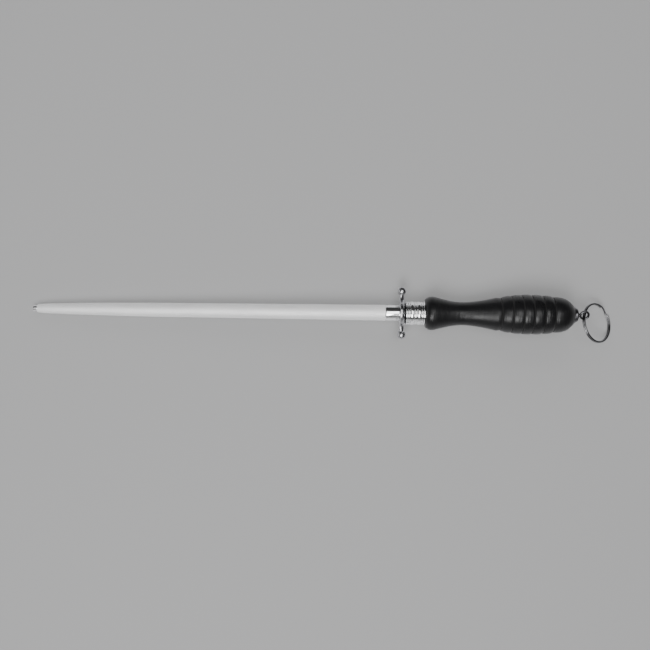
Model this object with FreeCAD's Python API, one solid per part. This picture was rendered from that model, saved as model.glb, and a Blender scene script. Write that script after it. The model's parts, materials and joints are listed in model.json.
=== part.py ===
import FreeCAD, Part

import math
import os

from FreeCAD import Placement, Rotation, Vector

# Butcher's sharpening steel, 300 mm (12 inch) rod, as it lies on a table. Millimetres, +Z up.
# The rod's axis is X. The origin is on that axis at the guard's front face: the rod points
# towards -X and the handle towards +X. The guard's two arms lie flat, along Y.
# A tang runs from the rod through guard, ferrule and handle to a cap nut at the butt, which
# holds a swivelling eye with a split ring.

# Sharpening rod
nib_tip_x = -299.7
nib_radius = 2.35
nib_chamfer = 0.5
rod_tip_x = -296.2
rod_root_x = -11.4
rod_root_radius = 6.45
neck_start_x = -9.4
neck_radius = 6.3
# (x, radius) along the ribbed length: nearly parallel, then a convex taper to the tip
rod_outline = (
    (rod_tip_x, 3.25),
    (-290.0, 3.9),
    (-277.0, 4.35),
    (-245.0, 5.1),
    (-212.0, 5.55),
    (-163.0, 5.85),
    (rod_root_x, rod_root_radius),
)

# Tang, inside guard, ferrule, handle and cap nut
tang_radius = 4.0
tang_shoulder_x = 122.0
tang_thread_radius = 2.95
tang_end_x = 137.0
tang_clearance = 0.1
# How far a cutting tool runs past each face of the piece that it bores
tool_overrun = 1.0

# Guard: a cast cross bar, flat in front and rounded off behind, with a ball on each arm
guard_thickness = 5.0
# Each section is widest at this share of its thickness. The shares that the corners are set in
# from the widest place follow: less in front than behind.
guard_widest_share = 0.35
guard_front_inset = 0.25
guard_back_inset = 0.5
guard_ball_radius = 3.6
guard_ball_y = 17.95
guard_ball_x = 2.15
# (y, width along Z, front x, back x): the bar's section at this distance from the rod's axis
guard_sections = (
    (0.0, 21.0, 0.0, guard_thickness),
    (4.0, 19.4, 0.0, guard_thickness),
    (8.0, 13.0, 0.03, 4.9),
    (11.0, 6.6, 0.15, 4.5),
    (15.4, 4.0, 0.45, 3.85),
)

# Ferrule: a turned sleeve with beads, mirrored about its middle
ferrule_start_x = guard_thickness
ferrule_end_x = 21.4
ferrule_core_radius = 8.6
ferrule_bore_radius = 7.6
# (distance from the middle, width, radius over the bead)
ferrule_beads = (
    (0.0, 1.9, 9.35),
    (2.85, 3.4, 9.5),
    (5.45, 1.6, 9.35),
    (7.2, 1.7, 9.45),
)

# Handle: moulded grip with a spigot inside the ferrule
handle_front_x = ferrule_end_x
handle_end_x = 143.1
handle_end_radius = 7.2
spigot_radius = 7.5
counterbore_radius = 4.8
counterbore_start_x = 126.0
front_edge_radius = 11.5
# (x, radius) from the front edge over the flare and the waist to the shoulder
grip_outline = (
    (handle_front_x, front_edge_radius),
    (22.4, 12.5),
    (24.4, 13.5),
    (27.0, 13.85),
    (33.6, 12.4),
    (42.0, 10.45),
    (50.2, 9.5),
    (60.0, 10.0),
    (70.0, 11.6),
    (79.6, 13.55),
)
# (x, radius) of each groove bottom, and (x, radius) of the crest of the bead behind it
grip_grooves = ((82.8, 13.2), (91.6, 15.0), (100.1, 15.8), (108.4, 15.8), (117.2, 15.4), (125.7, 14.4))
grip_crests = ((87.3, 14.8), (95.9, 16.0), (104.2, 16.4), (112.8, 16.3), (121.4, 15.75))
# (x, radius) of the rounded butt, behind the last groove
butt_outline = (
    (129.2, 14.7),
    (133.6, 14.0),
    (137.4, 12.5),
    (140.6, 10.1),
    (handle_end_x, handle_end_radius),
)

# Butt washer and cap nut
washer_radius = 6.6
washer_thickness = 1.2
washer_edge_round = 0.4
nut_barrel_radius = 4.6
nut_start_x = 127.0
nut_thread_radius = 3.0
nut_thread_end_x = 137.6
nut_cavity_radius = 2.65
nut_cavity_end_x = 143.2
nut_head_radius = 5.8
nut_head_edge = 0.9
nut_top_radius = 2.6
nut_top_x = 146.8
# How far the dome stands outside the straight line between its two edges
nut_dome_bulge = 0.55

# Swivel eye, its rivet head and its washer
eye_x = 152.2
eye_radius = 3.45
eye_wire_radius = 0.82
# The eye's own axis leans this far from +Z towards -Y
eye_tilt = 32.0
shank_radius = 1.3
shank_clearance = 0.05
shank_end_x = 147.1
eye_throat_x = 147.9
eye_throat_radius = 1.75
rivet_head_x = 140.6
rivet_head_radius = 2.2
rivet_head_height = 1.5
rivet_head_chamfer = 0.5
swivel_washer_radius = 2.4
swivel_washer_thickness = 0.9

# Split ring: two flat turns of one wire, hung through the eye
ring_x = 151.95
ring_radius = 15.9
ring_wire_width = 1.8
ring_wire_height = 1.2
ring_wire_corner = 0.5
ring_turn_gap = 0.1
# The ring swings about the wire that passes through the eye. That line drops this far from
# +Y and leans this far towards +X. The ring is stored swung this far down from straight out,
# where its edge meets the table.
ring_hinge_drop = 21.0
ring_hinge_lean = 13.0
ring_swing = 36.7
ring_jog_angle = 65.0
ring_jog_span = 30.0
ring_end_gap = 1.5
ring_jog_sections = 9

x_axis = Vector(1, 0, 0)
z_axis = Vector(0, 0, 1)
origin = Vector(0, 0, 0)


def point(x, radius):
    """A point of a half outline, which is revolved about X."""
    return Vector(x, radius, 0)


def line(start, end):
    return Part.LineSegment(start, end).toShape()


def spline(points):
    curve = Part.BSplineCurve()
    curve.interpolate([point(*p) for p in points])
    return curve.toShape()


def arc(start, middle, end):
    return Part.Arc(point(*start), point(*middle), point(*end)).toShape()


def revolve(edges):
    """One solid of revolution about X from a closed half outline."""
    face = Part.Face(Part.Wire(edges))
    return face.revolve(origin, x_axis, 360)


def lathe(corners):
    """A turned solid from straight runs between (x, radius) corners, closed along the axis."""
    points = [point(*c) for c in corners]
    runs = zip(points, points[1:] + points[:1])
    return revolve([line(a, b) for a, b in runs])


def cylinder(start_x, end_x, radius):
    return Part.makeCylinder(radius, end_x - start_x, point(start_x, 0), x_axis)


def sharpening_rod():
    """Nib, ribbed length, polished neck and tang in one forging."""
    profile = [
        line(point(nib_tip_x, 0), point(nib_tip_x, nib_radius - nib_chamfer)),
        line(point(nib_tip_x, nib_radius - nib_chamfer), point(nib_tip_x + nib_chamfer, nib_radius)),
        line(point(nib_tip_x + nib_chamfer, nib_radius), point(rod_tip_x, nib_radius)),
        line(point(rod_tip_x, nib_radius), point(*rod_outline[0])),
        spline(rod_outline),
    ]
    steps = (
        rod_outline[-1],
        (neck_start_x, neck_radius),
        (0, neck_radius),
        (0, tang_radius),
        (tang_shoulder_x, tang_radius),
        (tang_shoulder_x, tang_thread_radius),
        (tang_end_x, tang_thread_radius),
        (tang_end_x, 0),
        (nib_tip_x, 0),
    )
    profile += [line(point(*a), point(*b)) for a, b in zip(steps, steps[1:])]
    return revolve(profile)


def bar_section(y, width, front_x, back_x):
    """The guard's section across one arm: a wide flat front, round sides and a narrower back."""
    thickness = back_x - front_x
    front_z = width / 2 - guard_front_inset * thickness
    back_z = width / 2 - guard_back_inset * thickness
    widest_x = front_x + guard_widest_share * thickness
    front = (Vector(front_x, y, -front_z), Vector(front_x, y, front_z))
    back = (Vector(back_x, y, back_z), Vector(back_x, y, -back_z))
    return Part.Wire([
        line(*front),
        Part.Arc(front[1], Vector(widest_x, y, width / 2), back[0]).toShape(),
        line(*back),
        Part.Arc(back[1], Vector(widest_x, y, -width / 2), front[0]).toShape(),
    ])


def guard():
    near = [bar_section(-y, *rest) for y, *rest in reversed(guard_sections[1:])]
    far = [bar_section(y, *rest) for y, *rest in guard_sections]
    bar = Part.makeLoft(near + far, True, False)
    balls = [
        Part.makeSphere(guard_ball_radius, Vector(guard_ball_x, side * guard_ball_y, 0))
        for side in (-1, 1)
    ]
    bore = cylinder(-tool_overrun, guard_thickness + tool_overrun, tang_radius + tang_clearance)
    return bar.fuse(balls).removeSplitter().cut(bore)


def ferrule():
    """A sleeve whose beads are arcs standing on a plain core."""
    middle = (ferrule_start_x + ferrule_end_x) / 2
    beads = [(middle + side * at, width, radius) for at, width, radius in ferrule_beads for side in (-1, 1)]
    beads = sorted(set(beads))
    edges = []
    last = point(ferrule_start_x, ferrule_core_radius)
    for x, width, radius in beads:
        start = (x - width / 2, ferrule_core_radius)
        end = (x + width / 2, ferrule_core_radius)
        edges.append(line(last, point(*start)))
        edges.append(arc(start, (x, radius), end))
        last = point(*end)
    inner_end = point(ferrule_end_x, ferrule_bore_radius)
    inner_start = point(ferrule_start_x, ferrule_bore_radius)
    edges.append(line(last, point(ferrule_end_x, ferrule_core_radius)))
    edges.append(line(point(ferrule_end_x, ferrule_core_radius), inner_end))
    edges.append(line(inner_end, inner_start))
    edges.append(line(inner_start, point(ferrule_start_x, ferrule_core_radius)))
    return revolve(edges)


def handle():
    """Flare, waist, six grooves and a rounded butt, bored for the tang and the cap nut."""
    edges = [spline(grip_outline), line(point(*grip_outline[-1]), point(*grip_grooves[0]))]
    for start, crest, end in zip(grip_grooves, grip_crests, grip_grooves[1:]):
        edges.append(arc(start, crest, end))
    edges.append(spline((grip_grooves[-1],) + butt_outline))
    bore_radius = tang_radius + tang_clearance
    steps = (
        (handle_end_x, handle_end_radius),
        (handle_end_x, counterbore_radius),
        (counterbore_start_x, counterbore_radius),
        (counterbore_start_x, bore_radius),
        (ferrule_start_x, bore_radius),
        (ferrule_start_x, spigot_radius),
        (handle_front_x, spigot_radius),
        (handle_front_x, front_edge_radius),
    )
    edges += [line(point(*a), point(*b)) for a, b in zip(steps, steps[1:])]
    return revolve(edges)


def butt_washer():
    """A plain collar round the nut's barrel, with both outer edges rounded."""
    end_x = handle_end_x + washer_thickness
    outer = cylinder(handle_end_x, end_x, washer_radius)
    outer = outer.makeFillet(washer_edge_round, [outer.Edges[0], outer.Edges[2]])
    return outer.cut(cylinder(handle_end_x - tool_overrun, end_x + tool_overrun, counterbore_radius))


def cap_nut():
    """A barrel nut on the tang's thread, with a domed head that the swivel turns in."""
    head_x = handle_end_x + washer_thickness
    dome_start = (head_x + nut_head_edge, nut_head_radius)
    dome_middle = (nut_top_x - nut_dome_bulge, (nut_head_radius + nut_top_radius) / 2 + nut_dome_bulge)
    dome_end = (nut_top_x, nut_top_radius)
    hole_radius = shank_radius + shank_clearance
    steps = (
        dome_end,
        (nut_top_x, hole_radius),
        (nut_cavity_end_x, hole_radius),
        (nut_cavity_end_x, nut_cavity_radius),
        (nut_thread_end_x, nut_cavity_radius),
        (nut_thread_end_x, nut_thread_radius),
        (nut_start_x, nut_thread_radius),
        (nut_start_x, nut_barrel_radius),
        (head_x, nut_barrel_radius),
        (head_x, nut_head_radius),
        dome_start,
    )
    edges = [line(point(*a), point(*b)) for a, b in zip(steps, steps[1:])]
    edges.append(arc(dome_start, dome_middle, dome_end))
    return revolve(edges)


def swivel_eye():
    """An eye forged on a shank, whose inner end is peened to a rivet head."""
    eye_axis = Rotation(x_axis, eye_tilt).multVec(z_axis)
    eye = Part.makeTorus(eye_radius, eye_wire_radius, Vector(eye_x, 0, 0), eye_axis)
    shank = lathe((
        (rivet_head_x, 0),
        (rivet_head_x, rivet_head_radius - rivet_head_chamfer),
        (rivet_head_x + rivet_head_chamfer, rivet_head_radius),
        (rivet_head_x + rivet_head_height, rivet_head_radius),
        (rivet_head_x + rivet_head_height, shank_radius),
        (shank_end_x, shank_radius),
        (eye_throat_x, eye_throat_radius),
        (eye_x - eye_radius, eye_wire_radius),
        (eye_x - eye_radius, 0),
    ))
    return eye.fuse(shank).removeSplitter()


def swivel_washer():
    """A small disc on the shank, between the rivet head and the floor of the nut."""
    start_x = rivet_head_x + rivet_head_height
    end_x = start_x + swivel_washer_thickness
    disc = cylinder(start_x, end_x, swivel_washer_radius)
    return disc.cut(cylinder(start_x - tool_overrun, end_x + tool_overrun, shank_radius + shank_clearance))


def wire_section(height):
    """The ring wire's rounded rectangle, in the ring's own XZ plane."""
    half_width = ring_wire_width / 2
    half_height = ring_wire_height / 2
    soft = ring_wire_corner * (1 - math.sqrt(0.5))
    edges = []
    last = None
    for sx, sz in ((1, -1), (1, 1), (-1, 1), (-1, -1)):
        flat_x = ring_radius + sx * (half_width - ring_wire_corner)
        flat_z = height + sz * (half_height - ring_wire_corner)
        corner_x = ring_radius + sx * half_width
        corner_z = height + sz * half_height
        on_side = Vector(corner_x, 0, flat_z)
        on_top = Vector(flat_x, 0, corner_z)
        middle = Vector(corner_x - sx * soft, 0, corner_z - sz * soft)
        start, end = (on_top, on_side) if sx * sz < 0 else (on_side, on_top)
        if last is not None:
            edges.append(line(last, start))
        else:
            first = start
        edges.append(Part.Arc(start, middle, end).toShape())
        last = end
    edges.append(line(last, first))
    return Part.Wire(edges)


def at_angle(shape, angle):
    turned = shape.copy()
    turned.rotate(origin, z_axis, angle)
    return turned


def swing_axis():
    drop = math.radians(ring_hinge_drop)
    lean = math.radians(ring_hinge_lean)
    return Vector(math.sin(lean), math.cos(lean) * math.cos(drop), -math.cos(lean) * math.sin(drop))


def split_ring():
    """Two turns of one wire: a lower turn, a short jog, and an upper turn."""
    layer = (ring_wire_height + ring_turn_gap) / 2
    jog_start = ring_jog_angle - ring_jog_span / 2
    jog_end = ring_jog_angle + ring_jog_span / 2
    turn = 360 - ring_jog_span - ring_end_gap
    lower_face = at_angle(Part.Face(wire_section(-layer)), jog_end + ring_end_gap)
    upper_face = at_angle(Part.Face(wire_section(layer)), jog_end)
    lower = lower_face.revolve(origin, z_axis, turn)
    upper = upper_face.revolve(origin, z_axis, turn)
    sections = []
    for step in range(ring_jog_sections):
        part = step / (ring_jog_sections - 1)
        rise = part * part * (3 - 2 * part)
        section = wire_section(layer * (2 * rise - 1))
        sections.append(at_angle(section, jog_start + part * ring_jog_span))
    jog = Part.makeLoft(sections, True, False)
    ring = lower.fuse([jog, upper]).removeSplitter()
    # The ring's own axes are r, away from the eye, h, the swing axis, and their product.
    h = swing_axis()
    straight_out = x_axis - h * h.dot(x_axis)
    r = Rotation(h, ring_swing).multVec(straight_out.normalize())
    ring.Placement = Placement(Vector(ring_x, 0, 0) + r * ring_radius, Rotation(r, h, r.cross(h), "XYZ"))
    return ring


os.makedirs("parts", exist_ok=True)
for make in (
    sharpening_rod,
    guard,
    ferrule,
    handle,
    butt_washer,
    cap_nut,
    swivel_eye,
    swivel_washer,
    split_ring,
):
    solid = make()
    solid.exportStep("parts/" + make.__name__ + ".step")
    print(make.__name__, solid.ShapeType, "valid", solid.isValid(), "solids", len(solid.Solids),
          "volume", round(solid.Volume, 1))
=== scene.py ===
# %% [markdown]
# # A butcher's sharpening steel
# A sharpening steel is a hard, finely ribbed rod. A tang behind the rod passes through a guard,
# a ferrule and a handle, and a cap nut at the butt holds them all together. A swivelling eye
# and a split ring let it hang from a belt or a hook. This lesson dresses a finished CAD model
# of one: each piece is rebuilt with its real detail in the place that the CAD model gives it,
# and gets a finish made from shader nodes.
#
# We load the CAD frame first. Its bodies carry the pieces when a joint moves, and its boxes say
# where every piece goes, so that nothing is placed by eye.

# %% Load the CAD frame
import json
import math

import bmesh
import bpy
from mathutils import Euler, Matrix, Vector


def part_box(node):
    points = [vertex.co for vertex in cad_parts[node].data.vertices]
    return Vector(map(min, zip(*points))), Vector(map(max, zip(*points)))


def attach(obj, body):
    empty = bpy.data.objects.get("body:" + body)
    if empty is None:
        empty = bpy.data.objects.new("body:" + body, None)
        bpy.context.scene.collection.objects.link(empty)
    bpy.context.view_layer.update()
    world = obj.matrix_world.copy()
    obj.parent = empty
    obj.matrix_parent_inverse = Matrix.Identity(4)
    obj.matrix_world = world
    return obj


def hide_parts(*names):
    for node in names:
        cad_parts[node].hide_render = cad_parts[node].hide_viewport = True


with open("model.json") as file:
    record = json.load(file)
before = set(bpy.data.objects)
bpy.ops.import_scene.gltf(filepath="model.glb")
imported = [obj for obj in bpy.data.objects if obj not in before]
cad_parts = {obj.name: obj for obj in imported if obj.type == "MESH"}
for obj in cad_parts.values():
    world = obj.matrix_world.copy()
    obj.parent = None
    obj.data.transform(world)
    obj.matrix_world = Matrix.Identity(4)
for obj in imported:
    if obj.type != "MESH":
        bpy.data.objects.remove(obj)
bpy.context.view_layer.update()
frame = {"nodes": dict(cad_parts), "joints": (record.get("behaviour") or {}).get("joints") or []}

mm = 0.001
print("nodes:", sorted(frame["nodes"]))

# %% [markdown]
# ## Places along the axis
# The rod's axis is X, with the origin at the guard's front face and the handle towards +X. All
# pieces but the ring are centred on that axis, so a place is one number along X, in
# millimetres. We read them from the boxes of the CAD nodes.

# %% Read the places from the frame
def span(node):
    """First and last place of a CAD node along X, in millimetres."""
    low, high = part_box(node)
    return low.x / mm, high.x / mm


rod_start, tang_end = span("sharpening_rod")
ferrule_start, ferrule_end = span("ferrule")
guard_front, guard_back = 0.0, ferrule_start
handle_start, handle_end = ferrule_end, span("butt_washer")[0]
collar_end = span("butt_washer")[1]
nut_start, nut_end = span("cap_nut")
print("rod tip", round(rod_start, 2), "guard", round(guard_front, 2), "to", round(guard_back, 2))
print("ferrule to", round(ferrule_end, 2), "handle to", round(handle_end, 2), "nut to", round(nut_end, 2))

# %% [markdown]
# ## Small helpers for node trees
# Both finishes and Geometry Nodes are trees of nodes. One helper adds a node, sets what it is
# told to and links what it is given: a socket is linked and a plain value is typed in. With it,
# a tree reads from top to bottom like a recipe.

# %% Helpers that add nodes
def add(tree, kind, inputs=None, **settings):
    """Add a node. inputs maps a socket's name or number to a value or to another node's socket."""
    node = tree.nodes.new(kind)
    for name, value in settings.items():
        setattr(node, name, value)
    for key, value in (inputs or {}).items():
        if isinstance(value, bpy.types.NodeSocket):
            tree.links.new(value, node.inputs[key])
        else:
            node.inputs[key].default_value = value
    return node


def math_node(tree, operation, *values):
    """The result of one Math node."""
    node = add(tree, "ShaderNodeMath", dict(enumerate(values)), operation=operation)
    return node.outputs[0]


print("node helpers: add and math_node")

# %% [markdown]
# ## Finishes
# Every finish starts from the same few ingredients. Noise on Object coordinates sticks to the
# piece however it moves. Stretching it along one axis turns spots into brush marks. The result
# may shift the colour, the roughness or the bump, which is how real wear shows: mostly as a
# change in how sharp the reflections are, and only a little as a change of colour. The plain
# colour also stays on the shader's own socket, for programs that can't follow the nodes.

# %% Ingredients of a finish
def finish(name, colour, metallic, **constants):
    """A new material. Values that are the same all over are set on the shader itself."""
    material = bpy.data.materials.new(name)
    material.use_nodes = True
    shader = material.node_tree.nodes["Principled BSDF"]
    shader.inputs["Base Color"].default_value = (*colour, 1)
    shader.inputs["Metallic"].default_value = metallic
    for label, value in constants.items():
        shader.inputs[label].default_value = value
    return material, material.node_tree, shader


def grain(tree, size, detail=3.0, stretch=(1, 1, 1)):
    """Noise whose features are about size millimetres, drawn out by stretch along X, Y and Z."""
    place = add(tree, "ShaderNodeTexCoord").outputs["Object"]
    scale = [1 / (size * mm * s) for s in stretch]
    mapped = add(tree, "ShaderNodeMapping", {"Vector": place, "Scale": scale})
    noise = add(tree, "ShaderNodeTexNoise", {
        "Vector": mapped.outputs[0], "Scale": 1.0, "Detail": detail})
    return noise.outputs["Fac"]


def spread(tree, value, low, high, start=0.3, end=0.7):
    """Spread a 0 to 1 value out between low and high."""
    inputs = {"Value": value, "From Min": start, "From Max": end, "To Min": low, "To Max": high}
    return add(tree, "ShaderNodeMapRange", inputs).outputs["Result"]


def mixed_colour(tree, factor, first, second):
    """Blend two colours."""
    mix = add(tree, "ShaderNodeMix", {0: factor}, data_type="RGBA")
    mix.inputs[6].default_value = (*first, 1)
    mix.inputs[7].default_value = (*second, 1)
    return mix.outputs[2]


def bumps(tree, *layers):
    """Stack bump layers of (height, depth in millimetres)."""
    normal = None
    for height, depth in layers:
        inputs = {"Height": height, "Distance": depth * mm, "Strength": 1.0}
        if normal is not None:
            inputs["Normal"] = normal
        normal = add(tree, "ShaderNodeBump", inputs).outputs[0]
    return normal


def connect(tree, shader, colour, roughness, normal):
    """Link the three things that vary over a piece."""
    tree.links.new(colour, shader.inputs["Base Color"])
    tree.links.new(roughness, shader.inputs["Roughness"])
    tree.links.new(normal, shader.inputs["Normal"])


print("ingredients: grain, spread, mixed_colour and bumps")

# %% [markdown]
# ### Chrome
# The guard, the ferrule, the nut, the eye and the ring are chrome plated. Chrome shows almost
# no colour of its own: it shows the room. What makes it look real is that its reflections are
# not perfect. Handling leaves faint smudges that blur them here and there, polishing leaves
# hair lines, and a cast piece is never quite flat. One function makes all of these finishes and
# only the amounts change. The neck and the ferrule are bright, with their hair lines round the
# axis. The guard is cast and satin, with low waves, and its colour is painted darker. The nut,
# the eye and the ring are painted darkest, which keeps such small pieces clear against a pale
# table. These darker colours are painted shade, in place of darker reflections.

# %% Chrome
dulled = 0.86


def chrome(name, colour, shine, smudge=0.1, lines=0.0004, waves=0.0, stretch=(1, 1, 1)):
    """Plating. lines and waves are the depths in millimetres of hair lines and of unevenness."""
    material, tree, shader = finish(name, colour, 1.0)
    smudges = grain(tree, size=3.2, detail=4.0)
    blur = spread(tree, smudges, shine, shine + smudge, start=0.42, end=0.75)
    specks = spread(tree, grain(tree, size=1.1, detail=5.0), 0.0, 1.0, start=0.55, end=0.8)
    tint = mixed_colour(tree, specks, colour, [c * dulled for c in colour])
    layers = [(grain(tree, size=0.35, detail=2.0, stretch=stretch), lines)]
    if waves:
        layers.append((grain(tree, size=4.0, detail=1.0), waves))
    connect(tree, shader, tint, blur, bumps(tree, *layers))
    return material


# The guard, the nut, the eye and the ring get darker colours than the neck and the ferrule: painted
# shade, standing in for darker reflections.
guard_chrome = chrome("cast_chrome", (0.38, 0.38, 0.39), 0.24, smudge=0.08, waves=0.01)
turned_chrome = chrome("turned_chrome", (0.84, 0.845, 0.85), 0.05, stretch=(0.12, 8, 8))
nut_chrome = chrome("nut_chrome", (0.1, 0.1, 0.105), 0.12, stretch=(0.12, 8, 8))
eye_chrome = chrome("eye_chrome", (0.085, 0.085, 0.09), 0.08)
wire_chrome = chrome("wire_chrome", (0.19, 0.19, 0.195), 0.06, smudge=0.12)
chromes = (guard_chrome, turned_chrome, nut_chrome, eye_chrome, wire_chrome)
print("chrome finishes:", [m.name for m in chromes])

# %% [markdown]
# ### Ribbed steel
# The rod is hard chrome plated too, but its ribs and the fine lines that sharpening leaves
# along it scatter the light, so it looks pale and satin. Ribs this fine scatter more than a
# render can follow from their shape alone, so the finish helps: it is only partly metal, and
# the rest is matt. The bottoms of the ribs are painted darker, in patches: painted shade in
# the hollows, with a little grey steel dust. The Geometry Nodes tree that makes the ribs will
# store how deep each point lies in an attribute called rib_depth, and the colour reads it.

# %% Rod finish
def rod_finish():
    """Satin steel with lengthwise lines and darker rib bottoms."""
    metal_share = 0.4
    material, tree, shader = finish("ribbed_steel", (0.75, 0.75, 0.75), metal_share)
    depth = add(tree, "ShaderNodeAttribute", attribute_name="rib_depth").outputs["Fac"]
    patches = spread(tree, grain(tree, size=6.0, detail=4.0, stretch=(4, 1, 1)), 0.2, 0.75)
    # Painted shade: the colour darkens in the rib bottoms, in patches, with a little steel dust there
    # too.
    hollow_tint = math_node(tree, "MULTIPLY", depth, patches)
    colour = mixed_colour(tree, hollow_tint, (0.82, 0.82, 0.82), (0.6, 0.6, 0.61))
    streaks = spread(tree, grain(tree, size=0.5, detail=4.0, stretch=(30, 1, 1)), 0.46, 0.62)
    lines = grain(tree, size=0.16, detail=3.0, stretch=(60, 1, 1))
    connect(tree, shader, colour, streaks, bumps(tree, (lines, 0.012)))
    return material


ribbed_steel = rod_finish()
print("rod finish:", ribbed_steel.name)

# %% [markdown]
# ### Bare steel
# The tang and the small washer inside the swivel are never seen and never polished. They keep
# the grey skin of turned steel, with fine tool marks round the axis.

# %% Inner steel
def bare_steel():
    """Plain turned steel for the hidden pieces."""
    material, tree, shader = finish("bare_steel", (0.42, 0.42, 0.43), 1.0)
    marks = grain(tree, size=0.3, detail=3.0, stretch=(0.3, 6, 6))
    patches = spread(tree, grain(tree, size=2.5, detail=4.0), 0.0, 1.0)
    colour = mixed_colour(tree, patches, (0.46, 0.46, 0.47), (0.33, 0.32, 0.32))
    connect(tree, shader, colour, spread(tree, marks, 0.32, 0.5), bumps(tree, (marks, 0.006)))
    return material


inner_steel = bare_steel()
print("inner finish:", inner_steel.name)

# %% [markdown]
# ### Moulded handle
# The handle is black plastic with a soft gloss. The mould was turned, so low rings run round
# the handle and break up its highlights, and a very fine grain covers it. Hands polish the
# crests that they touch most, and dust and dried grease stay in the grooves. The handle's mesh
# will carry two attributes, worn and groove, each from 0 to 1. Fine scuffs are noise that is
# drawn out round the handle and cut off so that only its peaks show.

# %% Handle finish
def handle_finish():
    """Black plastic: grained, scuffed, shinier on the crests and dusty in the grooves."""
    material, tree, shader = finish("moulded_black", (0.012, 0.012, 0.013), 0.0, IOR=1.36)
    worn = add(tree, "ShaderNodeAttribute", attribute_name="worn").outputs["Fac"]
    groove = add(tree, "ShaderNodeAttribute", attribute_name="groove").outputs["Fac"]
    patches = grain(tree, size=9.0, detail=5.0)
    rings = grain(tree, size=1.2, detail=2.0, stretch=(1, 12, 12))
    pores = grain(tree, size=0.22, detail=2.0)
    peaks = grain(tree, size=0.45, detail=3.0, stretch=(1, 9, 9))
    scuffs = spread(tree, peaks, 0.0, 1.0, start=0.62, end=0.75)
    hollow_tint = math_node(tree, "MULTIPLY", groove, spread(tree, patches, 0.25, 0.7))
    shade = math_node(tree, "MAXIMUM", hollow_tint, math_node(tree, "MULTIPLY", scuffs, 0.25))
    colour = mixed_colour(tree, shade, (0.006, 0.006, 0.0065), (0.045, 0.044, 0.043))
    rough = spread(tree, patches, 0.31, 0.41)
    for mark, change in ((groove, 0.22), (scuffs, 0.09), (worn, -0.07)):
        rough = math_node(tree, "MULTIPLY_ADD", mark, change, rough)
    connect(tree, shader, colour, rough, bumps(tree, (patches, 0.05), (rings, 0.2), (pores, 0.004)))
    return material


moulded_black = handle_finish()
print("handle finish:", moulded_black.name)

# %% [markdown]
# ## Helpers that make meshes
# Every object that we make has to be linked into the scene, gets its faces turned outward and
# is shaded smoothly, with the real edges left sharp. Where modifiers shape a piece, we keep the
# mesh that they make and drop them. Numbers that a tree or a finish needs at each point are
# stored on the mesh as attributes.

# %% Meshes and objects
def in_scene(name, data):
    """A new object that shows in the scene."""
    thing = bpy.data.objects.new(name, data)
    bpy.context.collection.objects.link(thing)
    return thing


def smooth_skin(mesh, crease):
    """Turn the faces outward and shade them smoothly, but leave edges over crease degrees sharp."""
    skin = bmesh.new()
    skin.from_mesh(mesh)
    bmesh.ops.recalc_face_normals(skin, faces=skin.faces)
    skin.to_mesh(mesh)
    skin.free()
    mesh.shade_smooth()
    mesh.set_sharp_from_angle(angle=math.radians(crease))


def settle(piece):
    """Keep what a piece's modifiers make of it as its plain mesh."""
    bpy.context.view_layer.update()
    shaped = piece.evaluated_get(bpy.context.evaluated_depsgraph_get())
    mesh = bpy.data.meshes.new_from_object(shaped)
    piece.modifiers.clear()
    piece.data = mesh
    return mesh


def store(mesh, label, values):
    """Store one number for each point of a mesh."""
    mesh.attributes.new(label, "FLOAT", "POINT").data.foreach_set("value", values)


print("mesh helpers: in_scene, smooth_skin, settle and store")

# %% [markdown]
# Most pieces are turned: one outline, spun about the axis. We build the rings of such a piece
# ourselves instead of using the Spin tool, because then a point on the axis becomes a single
# pole and a closed outline becomes a closed skin, with nothing to merge afterwards.

# %% Turned pieces
round_steps = 144
on_axis = 1e-4
crease_angle = 32


def new_piece(name, points, faces, material, crease=crease_angle):
    """A smooth object from points in millimetres."""
    mesh = bpy.data.meshes.new(name)
    mesh.from_pydata([Vector(p) * mm for p in points], [], faces)
    mesh.materials.append(material)
    smooth_skin(mesh, crease)
    return in_scene(name, mesh)


def rings_to_faces(rings):
    """Quads between neighbouring rings, and triangles towards a ring of one point."""
    faces = []
    for first, second in zip(rings, rings[1:]):
        for i in range(max(len(first), len(second))):
            corners = [first[i % len(first)], first[(i + 1) % len(first)]]
            corners += [second[(i + 1) % len(second)], second[i % len(second)]]
            faces.append(tuple(dict.fromkeys(corners)))
    return faces


def turned(name, outline, material, closed=False, steps=round_steps, crease=crease_angle):
    """Spin an outline of (x, radius) points about the X axis."""
    points = []
    rings = []
    for x, radius in outline:
        count = 1 if radius < on_axis else steps
        rings.append(range(len(points), len(points) + count))
        for i in range(count):
            angle = math.tau * i / count
            points.append((x, radius * math.cos(angle), radius * math.sin(angle)))
    if closed:
        rings.append(rings[0])
    return new_piece(name, points, rings_to_faces(rings), material, crease)


print("a full circle has", round_steps, "steps")

# %% [markdown]
# An outline is drawn with as few points as its shape needs. One helper rounds the corners of a
# straight sided outline, one draws a smooth curve through points, and one spaces places evenly.

# %% Outlines
most_of_side = 0.45


def softened(corners, radius, steps=4, closed=False):
    """Round the corners of an outline. Points on the axis stay."""
    outline = []
    count = len(corners)
    for i, corner in enumerate(corners):
        here = Vector(corner)
        if not closed and i in (0, count - 1):
            outline.append(tuple(here))
            continue
        before = Vector(corners[i - 1]) - here
        after = Vector(corners[(i + 1) % count]) - here
        cut = min(radius, before.length * most_of_side, after.length * most_of_side)
        start = here + before.normalized() * cut
        end = here + after.normalized() * cut
        for step in range(steps + 1):
            t = step / steps
            outline.append(tuple(start * (1 - t) ** 2 + here * 2 * t * (1 - t) + end * t ** 2))
    return outline


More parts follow.
